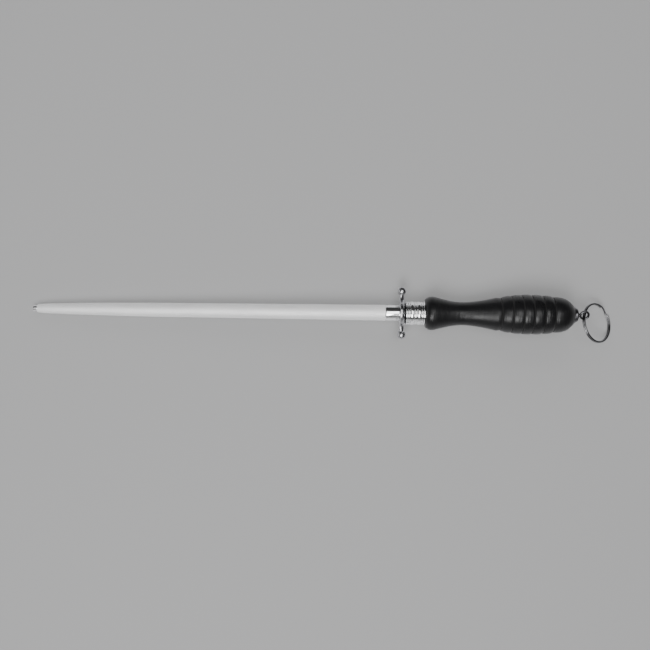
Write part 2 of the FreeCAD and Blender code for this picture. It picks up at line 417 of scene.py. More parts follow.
def smooth_curve(points):
    """A function r(x) that passes smoothly through (x, radius) points."""
    xs = [p[0] for p in points]
    rs = [p[1] for p in points]
    slopes = [(b[1] - a[1]) / (b[0] - a[0]) for a, b in zip(points, points[1:])]
    tangents = [slopes[0]] + [(a + b) / 2 for a, b in zip(slopes, slopes[1:])] + [slopes[-1]]

    def radius(x):
        i = max(j for j in range(len(xs) - 1) if xs[j] <= x or j == 0)
        step = xs[i + 1] - xs[i]
        t = (x - xs[i]) / step
        start = (1 + 2 * t) * (1 - t) ** 2 * rs[i] + t * (1 - t) ** 2 * step * tangents[i]
        end = t * t * (3 - 2 * t) * rs[i + 1] - t * t * (1 - t) * step * tangents[i + 1]
        return start + end

    return radius


def even(start, end, step):
    """Evenly spaced places from start to end, about step apart."""
    count = max(1, round((end - start) / step))
    return [start + (end - start) * i / count for i in range(count + 1)]


print("outline helpers: softened, smooth_curve and even")

# %% [markdown]
# ## Helpers for Geometry Nodes
# A tree gets named inputs, so that its sizes can be read and changed in the modifier. The
# modifier knows an input only by its identifier, and the sizes must be set before the object is
# first evaluated. Afterwards we keep the evaluated mesh and drop the modifier.

# %% Geometry Nodes helpers
def piece_tree(name, inputs):
    """A tree with named inputs, {name: (socket kind, value)}, and its input sockets."""
    tree = bpy.data.node_groups.new(name, "GeometryNodeTree")
    tree.interface.new_socket("Geometry", in_out="OUTPUT", socket_type="NodeSocketGeometry")
    tree.interface.new_socket("Geometry", in_out="INPUT", socket_type="NodeSocketGeometry")
    for label, (kind, _) in inputs.items():
        tree.interface.new_socket(label, in_out="INPUT", socket_type="NodeSocket" + kind)
    return tree, tree.nodes.new("NodeGroupInput").outputs


def end_tree(tree, geometry, material):
    """Every tree ends the same way: real geometry, one material."""
    real = add(tree, "GeometryNodeRealizeInstances", {"Geometry": geometry})
    coloured = add(tree, "GeometryNodeSetMaterial", {"Geometry": real.outputs[0], "Material": material})
    add(tree, "NodeGroupOutput", {0: coloured.outputs[0]})


def grown(name, tree, inputs, start_mesh=None, crease=crease_angle):
    """Run a tree on a small start mesh and return the result as a plain object."""
    piece = in_scene(name, start_mesh or bpy.data.meshes.new(name + "_start"))
    modifier = piece.modifiers.new("grow", "NODES")
    modifier.node_group = tree
    sockets = {item.name: item.identifier for item in tree.interface.items_tree
               if item.in_out == "INPUT"}
    for label, (_, value) in inputs.items():
        modifier[sockets[label]] = value
    mesh = settle(piece)
    smooth_skin(mesh, crease)
    print(name, "grown:", len(mesh.polygons), "faces")
    return piece


print("tree helpers: piece_tree, end_tree and grown")

# %% [markdown]
# ## Camera
# The steel lies on a table and we look straight down at it. The camera stands about 0.8 m above
# the rod's axis, turned by less than a degree, so that the axis falls a little to the right.
# The width that the lens takes in follows from that distance.

# %% Place the camera
camera_height = 780.0
view_width = 533.0
sensor_width = 36.0
camera_over = (-60.55, -10.7)
camera_turn = 0.75

camera_data = bpy.data.cameras.new("camera")
camera_data.sensor_width = sensor_width
camera_data.lens = sensor_width * camera_height / view_width
camera_data.clip_start = 0.01
camera = in_scene("camera", camera_data)
camera.location = Vector((*camera_over, camera_height)) * mm
camera.rotation_euler = (0, 0, math.radians(camera_turn))
bpy.context.scene.camera = camera
print("lens", round(camera_data.lens, 1), "mm")

# %% [markdown]
# ## Ribbed rod
# The ribs could be a bump in the material, but then the silhouette and the close view would be
# smooth. We cut them as geometry: a line of stations along the axis is swept by a circle that
# has four points for each rib. The line carries the rod's radius at each station, which tapers
# to the tip. Then every point is pushed in by its place on the rib: not at all on a crest, by
# the full depth at a bottom. At both ends the ribs fade out, as the cutter that made them ran
# out of the metal.

# %% Rod sizes
rib_count = 66
points_per_rib = 4
rib_depth = 0.07
bottom_power = 0.7
same_place = 1e-6
tip_x = -296.2
root_x = -11.4
rod_outline = (
    (tip_x, 3.25), (-290, 3.9), (-277, 4.35), (-245, 5.1), (-212, 5.55), (-163, 5.85), (root_x, 6.45),
)
tip_face = ((-0.02, 0.0), (-0.01, 2.6), (0.0, 2.95), (0.1, 3.15))
root_face = ((0.0, 6.43), (0.25, 6.2), (0.3, 5.6), (0.32, 0.0))
edge_round = 0.35
end_stretch = 6.0
tip_step = 0.6
middle_step = 5.0
root_step = 0.5
tip_fade = 5.0
root_fade = 2.5
rod_radius = smooth_curve(rod_outline)


def rod_stations():
    """(x, radius, rib share) along the rod, from a pole behind the tip face to a pole in the neck."""
    places = even(tip_x + edge_round, tip_x + end_stretch, tip_step)
    places += even(tip_x + 1.5 * end_stretch, root_x - end_stretch, middle_step)[:-1]
    places += even(root_x - end_stretch, root_x - 0.2, root_step)
    stations = [(tip_x + behind, radius, 0.0) for behind, radius in tip_face]
    for x in places:
        from_tip = min(1.0, (x - tip_x) / tip_fade)
        from_root = min(1.0, (root_x - x) / root_fade)
        stations.append((x, rod_radius(x), from_tip * from_root ** 2 * (3 - 2 * from_root)))
    return stations + [(root_x + beyond, radius, 0.0) for beyond, radius in root_face]


stations = rod_stations()
links = [(i, i + 1) for i in range(len(stations) - 1)]
rod_line = bpy.data.meshes.new("rod_line")
rod_line.from_pydata([(x * mm, 0, 0) for x, _, _ in stations], links, [])
store(rod_line, "station_radius", [radius for _, radius, _ in stations])
store(rod_line, "rib_share", [share for _, _, share in stations])
pitch = math.tau * rod_radius(root_x) / rib_count
print(len(stations), "stations,", rib_count, "ribs, pitch at the root", round(pitch, 2), "mm")

# %% [markdown]
# The tree reads in the order of the work. It makes a circle whose points know how deep they lie
# on their rib, sweeps it along the stations, and then moves every point towards the axis. The
# power under one makes the bottoms broad and the crests narrow.

# %% Grow the ribbed rod
def rib_tree(inputs):
    """Sweep a circle along the stations, then press the rib bottoms in."""
    tree, given = piece_tree("cut_ribs", inputs)
    line = add(tree, "GeometryNodeMeshToCurve", {"Mesh": given["Geometry"]})
    around = math_node(tree, "MULTIPLY", given["Rib count"], given["Points per rib"])
    circle = add(tree, "GeometryNodeCurvePrimitiveCircle", {"Resolution": around, "Radius": mm})
    index = add(tree, "GeometryNodeInputIndex").outputs[0]
    half_rib = math_node(tree, "DIVIDE", given["Points per rib"], 2)
    fold = math_node(tree, "PINGPONG", index, half_rib)
    groove = math_node(tree, "POWER", math_node(tree, "DIVIDE", fold, half_rib), bottom_power)
    marked = add(tree, "GeometryNodeStoreNamedAttribute", {
        "Geometry": circle.outputs[0], "Name": "rib_depth", "Value": groove})
    radius = add(tree, "GeometryNodeInputNamedAttribute", {"Name": "station_radius"}).outputs[0]
    skin = add(tree, "GeometryNodeCurveToMesh", {
        "Curve": line.outputs[0], "Profile Curve": marked.outputs[0], "Scale": radius})
    depth = add(tree, "GeometryNodeInputNamedAttribute", {"Name": "rib_depth"}).outputs[0]
    share = add(tree, "GeometryNodeInputNamedAttribute", {"Name": "rib_share"}).outputs[0]
    cut_in = math_node(tree, "MULTIPLY", depth, share)
    push = math_node(tree, "MULTIPLY", cut_in, given["Rib depth"])
    position = add(tree, "GeometryNodeInputPosition").outputs[0]
    outward = add(tree, "ShaderNodeVectorMath", {0: position, 1: (0, 1, 1)}, operation="MULTIPLY")
    outward = add(tree, "ShaderNodeVectorMath", {0: outward.outputs[0]}, operation="NORMALIZE")
    offset = add(tree, "ShaderNodeVectorMath", {
        0: outward.outputs[0], "Scale": math_node(tree, "MULTIPLY", push, -1)}, operation="SCALE")
    ribbed = add(tree, "GeometryNodeSetPosition", {
        "Geometry": skin.outputs[0], "Offset": offset.outputs[0]})
    shaded = add(tree, "GeometryNodeStoreNamedAttribute", {
        "Geometry": ribbed.outputs[0], "Name": "rib_depth", "Value": cut_in})
    closed = add(tree, "GeometryNodeMergeByDistance", {
        "Geometry": shaded.outputs[0], "Distance": same_place})
    end_tree(tree, closed.outputs[0], given["Material"])
    return tree


rib_inputs = {
    "Rib count": ("Int", rib_count),
    "Points per rib": ("Int", points_per_rib),
    "Rib depth": ("Float", rib_depth * mm),
    "Material": ("Material", ribbed_steel),
}
ribbed_rod = grown("ribbed_rod", rib_tree(rib_inputs), rib_inputs, rod_line, crease=60)

# %% [markdown]
# ## Nib, neck and tang
# The same forging carries a polished nib at the tip, a polished neck that enters the guard, and
# the tang. They are plain turned shapes with slightly rounded corners: a real corner always
# catches a thin line of light, and a perfectly sharp one looks false.

# %% Nib, neck and tang
nib_radius = 2.35
nib_back = tip_x + 1
neck_radius = 6.3
neck_start = root_x + 0.1
neck_full_x = -10.4
neck_taper = 0.25
seam = 0.02
tang_radius = 4.0
tang_shoulder_x = 122.0
thread_radius = 2.95
thread_depth = 0.45
core_radius = thread_radius - thread_depth
small_steps = 72

nib_corners = ((rod_start, 0), (rod_start, nib_radius), (nib_back, nib_radius), (nib_back, 0))
neck_corners = (
    (neck_start, 0),
    (neck_start, neck_radius - neck_taper),
    (neck_full_x, neck_radius),
    (guard_front + seam, neck_radius),
    (guard_front + seam, 0),
)
tang_corners = (
    (guard_front + seam, 0),
    (guard_front + seam, tang_radius),
    (tang_shoulder_x, tang_radius),
    (tang_shoulder_x, core_radius),
    (tang_end, core_radius),
    (tang_end, 0),
)
rod_nib = turned("rod_nib", softened(nib_corners, radius=0.55), turned_chrome, steps=small_steps)
rod_neck = turned("rod_neck", softened(neck_corners, radius=0.2), turned_chrome)
rod_tang = turned("rod_tang", softened(tang_corners, radius=0.4), inner_steel, steps=small_steps)
print("tang", 2 * tang_radius, "mm thick,", round(tang_end - guard_front, 1), "mm long")

# %% [markdown]
# The nut needs a thread on the tang's end. A thread is one section that follows one path, so
# Geometry Nodes sweep a small triangle along a spiral.

# %% Thread on the tang
def thread_tree(inputs):
    """A spiral about X, swept by a triangle."""
    tree, given = piece_tree("wind_thread", inputs)
    spiral = add(tree, "GeometryNodeCurveSpiral", {
        "Resolution": 32, "Rotations": given["Turns"], "Start Radius": given["Radius"],
        "End Radius": given["Radius"], "Height": given["Length"]})
    ridge = add(tree, "GeometryNodeCurvePrimitiveCircle", {"Resolution": 3, "Radius": given["Ridge"]})
    swept = add(tree, "GeometryNodeCurveToMesh", {
        "Curve": spiral.outputs[0], "Profile Curve": ridge.outputs[0], "Fill Caps": True})
    laid = add(tree, "GeometryNodeTransform", {
        "Geometry": swept.outputs[0], "Translation": given["Start"], "Rotation": (0, math.pi / 2, 0)})
    end_tree(tree, laid.outputs[0], given["Material"])
    return tree


thread_pitch = 1.0
thread_margin = 1.0
thread_length = tang_end - tang_shoulder_x - 2 * thread_margin
thread_inputs = {
    "Turns": ("Float", thread_length / thread_pitch),
    "Radius": ("Float", core_radius * mm),
    "Length": ("Float", thread_length * mm),
    "Ridge": ("Float", thread_depth * mm),
    "Start": ("Vector", ((tang_shoulder_x + thread_margin) * mm, 0, 0)),
    "Material": ("Material", inner_steel),
}
tang_thread = grown("tang_thread", thread_tree(thread_inputs), thread_inputs)

# %% [markdown]
# ## Guard
# The guard is one casting: a boss that the rod stands on, two arms, and a ball on the end of
# each arm. Its shape follows a rule. Walking out along Y, each section is a flattened round
# whose width, thickness and squareness change smoothly, so we loft a skin through many such
# sections. Where an arm meets its ball, the two radii are blended with a soft maximum, which
# leaves the small fillet that a casting has. The hole for the tang is cut last, by a Boolean.

# %% Guard sizes
ball_radius = 3.6
ball_y = 17.95
ball_x = 2.15
fillet = 0.35
front_share = 0.2
boss_squareness = 3.2
squareness_end = 11.0
squareness_power = 0.7
arm_rule = (
    (0.0, 21.0, 0.0, 5.0),
    (4.0, 19.4, 0.0, 5.0),
    (8.0, 13.0, 0.03, 4.9),
    (10.4, 6.4, 0.13, 4.55),
    (12.0, 4.9, 0.22, 4.35),
    (15.4, 4.2, 0.45, 3.85),
    (18.0, 4.0, 0.6, 3.7),
)
arm_width = smooth_curve([(y, width) for y, width, _, _ in arm_rule])
arm_front = smooth_curve([(y, front) for y, _, front, _ in arm_rule])
arm_back = smooth_curve([(y, back) for y, _, _, back in arm_rule])


def soft_max(a, b, width):
    """The larger of two numbers, rounded off where they are close."""
    return (a + b + math.sqrt((a - b) ** 2 + width ** 2)) / 2


def guard_section(y):
    """Spine x, reach ahead and behind it, half width and squareness of the guard this far out."""
    out = abs(y)
    ball = math.sqrt(max(0.0, ball_radius ** 2 - (out - ball_y) ** 2))
    if out > ball_y:
        return ball_x, ball, ball, ball, 2.0
    front, back = arm_front(out), arm_back(out)
    toward_ball = ball / ball_radius
    spine = (front + (back - front) * front_share) * (1 - toward_ball) + ball_x * toward_ball
    ahead = soft_max(spine - front, ball, fillet)
    behind = soft_max(back - spine, ball, fillet)
    wide = soft_max(arm_width(out) / 2, ball, fillet)
    boss_share = max(0.0, 1 - out / squareness_end) ** squareness_power
    square = 2.0 + (boss_squareness - 2) * boss_share * (1 - toward_ball)
    return spine, ahead, behind, wide, square


guard_reach = ball_y + ball_radius
print("guard", round(2 * guard_reach, 1), "mm over the balls,", arm_rule[0][1], "mm wide in the middle")

# %% [markdown]
# The rings stand close together round the balls, where the shape changes fastest, at even
# angles of the ball. From there on they are evenly spaced to the middle, and the other arm
# mirrors them.

# %% Loft the guard
ball_step = 6
ball_foot = -60
arm_step = 0.45
first_gap = 0.25
bore_radius = tang_radius + 0.1
drill_overrun = 2


def guard_skin(around=72):
    """Rings of points across the guard, from one ball's pole to the other's."""
    angles = even(90, ball_foot, -ball_step)
    places = [ball_y + ball_radius * math.sin(math.radians(angle)) for angle in angles]
    places += even(places[-1] - first_gap, 0, -arm_step)
    places += [-y for y in reversed(places[:-1])]
    points = []
    rings = []
    for y in places:
        spine, ahead, behind, wide, square = guard_section(y)
        count = 1 if abs(y) > guard_reach - on_axis else around
        rings.append(range(len(points), len(points) + count))
        for i in range(count):
            angle = math.tau * i / around
            c, s = math.cos(angle), math.sin(angle)
            thick = behind if c > 0 else ahead
            across = math.copysign(abs(c) ** (2 / square), c) * thick * (count > 1)
            along = math.copysign(abs(s) ** (2 / square), s) * wide * (count > 1)
            points.append((spine + across, y, along))
    return points, rings_to_faces(rings)


guard = new_piece("guard_casting", *guard_skin(), guard_chrome, crease=40)
drill_start = guard_front - drill_overrun
drill_end = guard_back + drill_overrun
drill_outline = ((drill_start, 0), (drill_start, bore_radius), (drill_end, bore_radius), (drill_end, 0))
drill = turned("drill", drill_outline, guard_chrome, steps=64)
bore = guard.modifiers.new("bore", "BOOLEAN")
bore.object = drill
bore.operation = "DIFFERENCE"
guard_mesh = settle(guard)
bpy.data.objects.remove(drill)
print("guard", len(guard_mesh.polygons), "faces")

# %% [markdown]
# ## Ferrule
# The ferrule is a turned sleeve that keeps the handle's front end from splitting. Seven beads
# stand on it: one in the middle, a wide one on each side of that, and two narrow ones at each
# end. A bead is the same arc of a ring each time, only wider or narrower, so it is made once
# and instanced on seven points. The points carry their own bead's width and radius as
# attributes.

# %% Turn the sleeve
sleeve_radius = 8.5
sleeve_bore = 7.6
sleeve_corners = (
    (ferrule_start, sleeve_bore),
    (ferrule_start, sleeve_radius),
    (ferrule_end, sleeve_radius),
    (ferrule_end, sleeve_bore),
)
sleeve_outline = softened(sleeve_corners, radius=0.15, closed=True)
ferrule_sleeve = turned("ferrule_sleeve", sleeve_outline, turned_chrome, closed=True)
print("sleeve", round(ferrule_end - ferrule_start, 1), "mm long")

# %% [markdown]
# The bead that is copied is 1 mm wide and stands 1 mm from the axis. Every point scales its own
# copy: along X to the width of its bead, and across to its radius.

# %% Grow the beads
beads = ((0.0, 2.1, 9.35), (2.85, 3.6, 9.5), (5.5, 1.7, 9.35), (7.27, 1.84, 9.45))
bead_foot = 0.9
bead_sides = 20
ferrule_middle = (ferrule_start + ferrule_end) / 2
spots = sorted({(side * at, width, radius) for at, width, radius in beads for side in (-1, 1)})
bead_points = bpy.data.meshes.new("bead_points")
bead_points.from_pydata([((ferrule_middle + at) * mm, 0, 0) for at, _, _ in spots], [], [])
store(bead_points, "bead_width", [width for _, width, _ in spots])
store(bead_points, "bead_radius", [radius for _, _, radius in spots])


def bead_tree(inputs):
    """One unit bead, a closed half round section carried round the axis, on every point."""
    tree, given = piece_tree("set_beads", inputs)
    path_radius = math_node(tree, "MULTIPLY", given["Foot"], mm)
    path = add(tree, "GeometryNodeCurvePrimitiveCircle", {
        "Resolution": round_steps, "Radius": path_radius})
    section = add(tree, "GeometryNodeCurvePrimitiveCircle", {"Resolution": bead_sides, "Radius": 1.0})
    height = math_node(tree, "SUBTRACT", mm, path_radius)
    flat = add(tree, "ShaderNodeCombineXYZ", {"X": height, "Y": mm / 2, "Z": 1.0})
    squeezed = add(tree, "GeometryNodeTransform", {
        "Geometry": section.outputs[0], "Scale": flat.outputs[0]})
    ring = add(tree, "GeometryNodeCurveToMesh", {
        "Curve": path.outputs[0], "Profile Curve": squeezed.outputs[0]})
    upright = add(tree, "GeometryNodeTransform", {
        "Geometry": ring.outputs[0], "Rotation": (0, math.pi / 2, 0)})
    width = add(tree, "GeometryNodeInputNamedAttribute", {"Name": "bead_width"}).outputs[0]
    radius = add(tree, "GeometryNodeInputNamedAttribute", {"Name": "bead_radius"}).outputs[0]
    size = add(tree, "ShaderNodeCombineXYZ", {"X": width, "Y": radius, "Z": radius})
    copies = add(tree, "GeometryNodeInstanceOnPoints", {
        "Points": given["Geometry"], "Instance": upright.outputs[0], "Scale": size.outputs[0]})
    end_tree(tree, copies.outputs[0], given["Material"])
    return tree


bead_inputs = {"Foot": ("Float", bead_foot), "Material": ("Material", turned_chrome)}
ferrule_beads = grown("ferrule_beads", bead_tree(bead_inputs), bead_inputs, bead_points)

# %% [markdown]
# ## Handle
# The handle is turned about the same axis: a flare against the ferrule, a waist for the thumb,
# and a belly with six grooves for the fingers. The outline is one smooth curve to the first
# groove, then a row of low arcs. Every groove has a narrow cut at its bottom, which gives the
# thin dark line that a plain dip would not. The rows of points stand close together only round
# the grooves. Two attributes are stored for the finish: worn is high on the crests of the belly
# and groove is high in the cuts.

# %% Handle sizes
front_radius = 11.5
grip = (
    (handle_start, front_radius), (handle_start + 1, 12.5), (handle_start + 3, 13.5), (27.0, 13.85),
    (33.6, 12.4), (42.0, 10.45), (50.2, 9.5), (60.0, 10.0), (70.0, 11.6), (79.6, 13.55),
)
grooves = ((82.8, 13.2), (91.6, 15.0), (100.1, 15.8), (108.4, 15.8), (117.2, 15.4), (125.7, 14.4))
crests = ((87.3, 14.8), (95.9, 16.0), (104.2, 16.4), (112.8, 16.3), (121.4, 15.75))
butt = (grooves[-1], (129.2, 14.7), (133.6, 14.0), (137.4, 12.5), (140.6, 10.1), (handle_end, 7.2))
lobe_fullness = 2.6
cut_depth = 0.55
cut_width = 0.38
cut_zone = 1.2
flare_end = 30
grip_radius = smooth_curve(grip)
butt_radius = smooth_curve(butt)
print(len(grooves), "grooves between", grooves[0][0], "and", grooves[-1][0], "mm")

# %% [markdown]
# Between two grooves the outline is a low arch on the straight line from one to the other. A
# power above two makes the arch full in the middle and steep at its ends, like a row of beads.
# The cut is a narrow bell curve round each groove's place, taken off whatever is there.

# %% Handle outline
grip_step = 0.5
waist_step = 1.1
belly_step = 0.8
cut_step = 0.12
front_round = 0.12


def lobe_radius(x):
    """Radius between two grooves: a low arch from one groove over its crest to the next."""
    i = max(j for j in range(len(crests)) if grooves[j][0] <= x or j == 0)
    (x0, r0), (xc, rc), (x1, r1) = grooves[i], crests[i], grooves[i + 1]
    t = (x - x0) / (x1 - x0)
    chord = r0 + (r1 - r0) * t
    rise = rc - (r0 + (r1 - r0) * (xc - x0) / (x1 - x0))
    return chord + rise * (1 - abs(2 * t - 1) ** lobe_fullness)


def cut_share(x):
    """How far into a groove's narrow cut this place is, 0 to 1."""
    return max(math.exp(-((x - at) / cut_width) ** 2) for at, _ in grooves)


def handle_radius(x):
    """Radius of the whole outside: grip, a short slope to the first groove, lobes and butt."""
    grip_end, grip_end_radius = grip[-1]
    groove_start, groove_start_radius = grooves[0]
    if x <= grip_end:
        base = grip_radius(x)
    elif x <= groove_start:
        t = (x - grip_end) / (groove_start - grip_end)
        base = grip_end_radius * (1 - t) + groove_start_radius * t
    elif x <= grooves[-1][0]:
        base = lobe_radius(x)
    else:
        base = butt_radius(x)
    return base - cut_depth * cut_share(x)


def handle_places():
    """Places along the outside, close together near the front edge and in the grooves."""
    grip_end = grip[-1][0]
    places = set(even(handle_start + front_round, flare_end, grip_step))
    places |= set(even(flare_end, grip_end, waist_step))
    places |= set(even(grip_end, handle_end, belly_step))
    for at, _ in grooves:
        places |= set(even(at - cut_zone, at + cut_zone, cut_step))
    return sorted(round(x, 3) for x in places)


outside = [(x, handle_radius(x)) for x in handle_places()]
print("handle outline", len(outside), "points, widest", round(2 * max(r for _, r in outside), 1), "mm")

# %% [markdown]
# Inside, the handle has a spigot that fills the ferrule, a bore for the tang, and a counterbore
# for the nut's barrel. Joined to the outside, they make one closed outline, and spinning it
# gives one closed skin.

# %% Turn the handle
spigot_radius = 7.5
counterbore_radius = 4.8
counterbore_x = 126.0
front_inset = 0.15
wear_start = 13.5
wear_full = 16.0
inside = softened((
    (handle_end, counterbore_radius),
    (counterbore_x, counterbore_radius),
    (counterbore_x, bore_radius),
    (ferrule_start + seam, bore_radius),
    (ferrule_start + seam, spigot_radius),
    (handle_start, spigot_radius),
    (handle_start, front_radius - front_inset),
), radius=0.2, steps=2)
handle = turned("grip_handle", outside + inside, moulded_black, closed=True, steps=128)


def wear(x, radius):
    """How polished by hands this place is, 0 to 1."""
    share = (radius - wear_start) / (wear_full - wear_start)
    return max(0.0, min(1.0, share)) * (1 - cut_share(x))


spots = [(v.co.x / mm, math.hypot(v.co.y, v.co.z) / mm) for v in handle.data.vertices]
store(handle.data, "groove", [cut_share(x) if r > front_radius else 0.0 for x, r in spots])
store(handle.data, "worn", [wear(x, r) for x, r in spots])
print("handle", len(handle.data.polygons), "faces")

# %% [markdown]
# ## Cap nut
# The cap nut screws onto the tang and pulls everything together. Its barrel is hidden in the
# handle and its domed head shows at the butt. The dome is a quarter turn of an ellipse, so the
# outline follows from the head's edge and the flat round the swivel hole.

# %% Turn the cap nut
barrel_radius = 4.6
nut_thread_radius = 3.0
nut_thread_end = 137.6
cavity_radius = 2.65
cavity_end = 143.2
head_radius = 5.8
head_edge = 0.9
nut_top_radius = 2.6
hole_radius = 1.35

dome = []
for angle in even(0, 90, 7.5):
    turn = math.radians(angle)
    x = collar_end + head_edge + (nut_end - collar_end - head_edge) * math.sin(turn)
    dome.append((x, nut_top_radius + (head_radius - nut_top_radius) * math.cos(turn)))
barrel = softened((
    (nut_end, hole_radius),
    (cavity_end, hole_radius),
    (cavity_end, cavity_radius),
    (nut_thread_end, cavity_radius),
    (nut_thread_end, nut_thread_radius),
    (nut_start, nut_thread_radius),
    (nut_start, barrel_radius),
    (collar_end, barrel_radius),
    (collar_end, head_radius),
    (collar_end + head_edge, head_radius),
), radius=0.18)
cap_nut = turned("cap_nut_dome", dome + barrel, nut_chrome, closed=True, steps=96)
print("cap nut", len(cap_nut.data.polygons), "faces")

# %% [markdown]
# ## Swivel eye
# The eye is forged from one pin: a round eye outside, a shank through the nut, and a peened
# head inside that keeps it from pulling out. A torus pushed into a turned shank would meet it
# in a hard line. A voxel remesh fuses the two into one skin, and a little smoothing turns the
# line into the fillet that forging leaves.

# %% Bend the eye
eye_low, eye_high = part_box("swivel_eye")
eye_radius = 3.35
eye_wire = 1.0
eye_x = eye_high.x / mm - eye_radius - eye_wire
eye_tilt = 32.0


def torus_points(around=96, section=32):
    """An eye standing at eye_x, its axis leaning from +Z towards -Y."""
    lean = Matrix.Rotation(math.radians(eye_tilt), 3, "X")
    points = []
    rings = []
    for i in range(around):
        turn = math.tau * i / around
        rings.append(range(len(points), len(points) + section))
        for j in range(section):
            roll = math.tau * j / section
            reach = eye_radius + eye_wire * math.cos(roll)
            flat = Vector((reach * math.cos(turn), reach * math.sin(turn), eye_wire * math.sin(roll)))
            points.append(Vector((eye_x, 0, 0)) + lean @ flat)
    return points, rings_to_faces(rings + [rings[0]])


swivel_eye = new_piece("swivel_eye_pin", *torus_points(), eye_chrome)
print("eye", round(2 * (eye_radius + eye_wire), 1), "mm across, wire", round(2 * eye_wire, 1), "mm")

# %% [markdown]
# Joining two meshes only puts them in one object, with each still whole inside the other. The
# remesh keeps what can be seen from outside as one closed skin.

# %% Forge the eye and its shank
rivet_start = eye_low.x / mm
rivet_end = rivet_start + 1.5
rivet_radius = 2.2
shank_radius = 1.3
neck_out = nut_end + 0.3
throat_x = nut_end + 1.1
throat_radius = 1.75
weld_x = eye_x - eye_radius
weld_radius = 0.95
shank_corners = (
    (rivet_start, 0),
    (rivet_start, rivet_radius),
    (rivet_end, rivet_radius),
    (rivet_end, shank_radius),
    (neck_out, shank_radius),
    (throat_x, throat_radius),
    (weld_x, weld_radius),
    (weld_x + 0.2, 0),
)
shank_outline = softened(shank_corners, radius=0.3)
shank = turned("shank", shank_outline, eye_chrome, steps=48)
with bpy.context.temp_override(active_object=swivel_eye, selected_editable_objects=[swivel_eye, shank]):
    bpy.ops.object.join()
fuse = swivel_eye.modifiers.new("fuse", "REMESH")
fuse.mode = "VOXEL"
fuse.voxel_size = 0.11 * mm
relax = swivel_eye.modifiers.new("relax", "SMOOTH")
relax.iterations = 8
relax.factor = 0.5
eye_mesh = settle(swivel_eye)
eye_mesh.shade_smooth()
print("swivel eye", len(eye_mesh.polygons), "faces")

# %% [markdown]
# ## Split ring
# A split ring is one flat wire wound twice round. Its path follows a rule: the height above the
# ring's middle stays low for the first turn, climbs over a short stretch, the jog, and stays
# high for the second. Geometry Nodes place points by that rule and sweep them with a rectangle
# whose corners are rounded. The ring hangs in the eye, swung down until it rests on the table,
# so the result is turned to that pose last. The hinge line and its place are read from the
# frame's joint.

# %% Ring sizes and pose
ring_radius = 15.9
wire_width = 1.8
wire_height = 1.2
wire_corner = 0.56
turn_gap = 0.1
jog_angle = 65.0
jog_span = 30.0
end_gap = 1.5
ring_points = 289
ring_swing = 36.7

swing_joint = next(j for j in frame["joints"] if j["name"] == "ring_swing")
hinge_line = Vector(swing_joint["axis"]).normalized()
hinge_place = Vector(swing_joint["pos_m"])
straight_out = (Vector((1, 0, 0)) - hinge_line * hinge_line.x).normalized()
outward = Matrix.Rotation(math.radians(ring_swing), 3, hinge_line) @ straight_out
ring_axis = outward.cross(hinge_line)
ring_turn = Matrix((outward, hinge_line, ring_axis)).transposed().to_euler()
ring_middle = hinge_place + outward * ring_radius * mm
print("ring middle", [round(c / mm, 2) for c in ring_middle])

# %% [markdown]
# The points of the path are numbered, and a point's number gives its angle, its height and so
# its place. The wire's normal is set to Z, which keeps the rectangle from twisting on its way.

# %% Wind the split ring
def ring_tree(inputs):
    """Two turns of a path whose height climbs over the jog, swept by a rounded rectangle."""
    tree, given = piece_tree("wind_ring", inputs)
    points = add(tree, "GeometryNodeMeshLine", {"Count": given["Points"], "Offset": (0, 0, 0)})
    index = add(tree, "GeometryNodeInputIndex").outputs[0]
    step = math_node(tree, "DIVIDE", given["Sweep"], math_node(tree, "SUBTRACT", given["Points"], 1))
    along = math_node(tree, "MULTIPLY", index, step)
    angle = math_node(tree, "ADD", along, given["Start angle"])
    climb = add(tree, "ShaderNodeMapRange", {
        "Value": along, "From Min": given["Jog start"], "From Max": given["Jog end"],
        "To Min": math_node(tree, "MULTIPLY", given["Layer"], -1), "To Max": given["Layer"]},
        interpolation_type="SMOOTHSTEP")
    place = add(tree, "ShaderNodeCombineXYZ", {
        "X": math_node(tree, "MULTIPLY", given["Radius"], math_node(tree, "COSINE", angle)),
        "Y": math_node(tree, "MULTIPLY", given["Radius"], math_node(tree, "SINE", angle)),
        "Z": climb.outputs["Result"]})
    moved = add(tree, "GeometryNodeSetPosition", {
        "Geometry": points.outputs[0], "Position": place.outputs[0]})
    path = add(tree, "GeometryNodeMeshToCurve", {"Mesh": moved.outputs[0]})
    upright = add(tree, "GeometryNodeSetCurveNormal", {"Curve": path.outputs[0]}, mode="Z_UP")
    bar = add(tree, "GeometryNodeCurvePrimitiveQuadrilateral", {
        "Width": given["Wire width"], "Height": given["Wire height"]}, mode="RECTANGLE")
    soft = add(tree, "GeometryNodeFilletCurve", {
        "Curve": bar.outputs[0], "Radius": given["Corner"], "Count": 4}, mode="POLY")
    wire = add(tree, "GeometryNodeCurveToMesh", {
        "Curve": upright.outputs[0], "Profile Curve": soft.outputs[0], "Fill Caps": True})
    laid = add(tree, "GeometryNodeTransform", {
        "Geometry": wire.outputs[0], "Translation": given["Middle"], "Rotation": given["Turn"]})
    end_tree(tree, laid.outputs[0], given["Material"])
    return tree


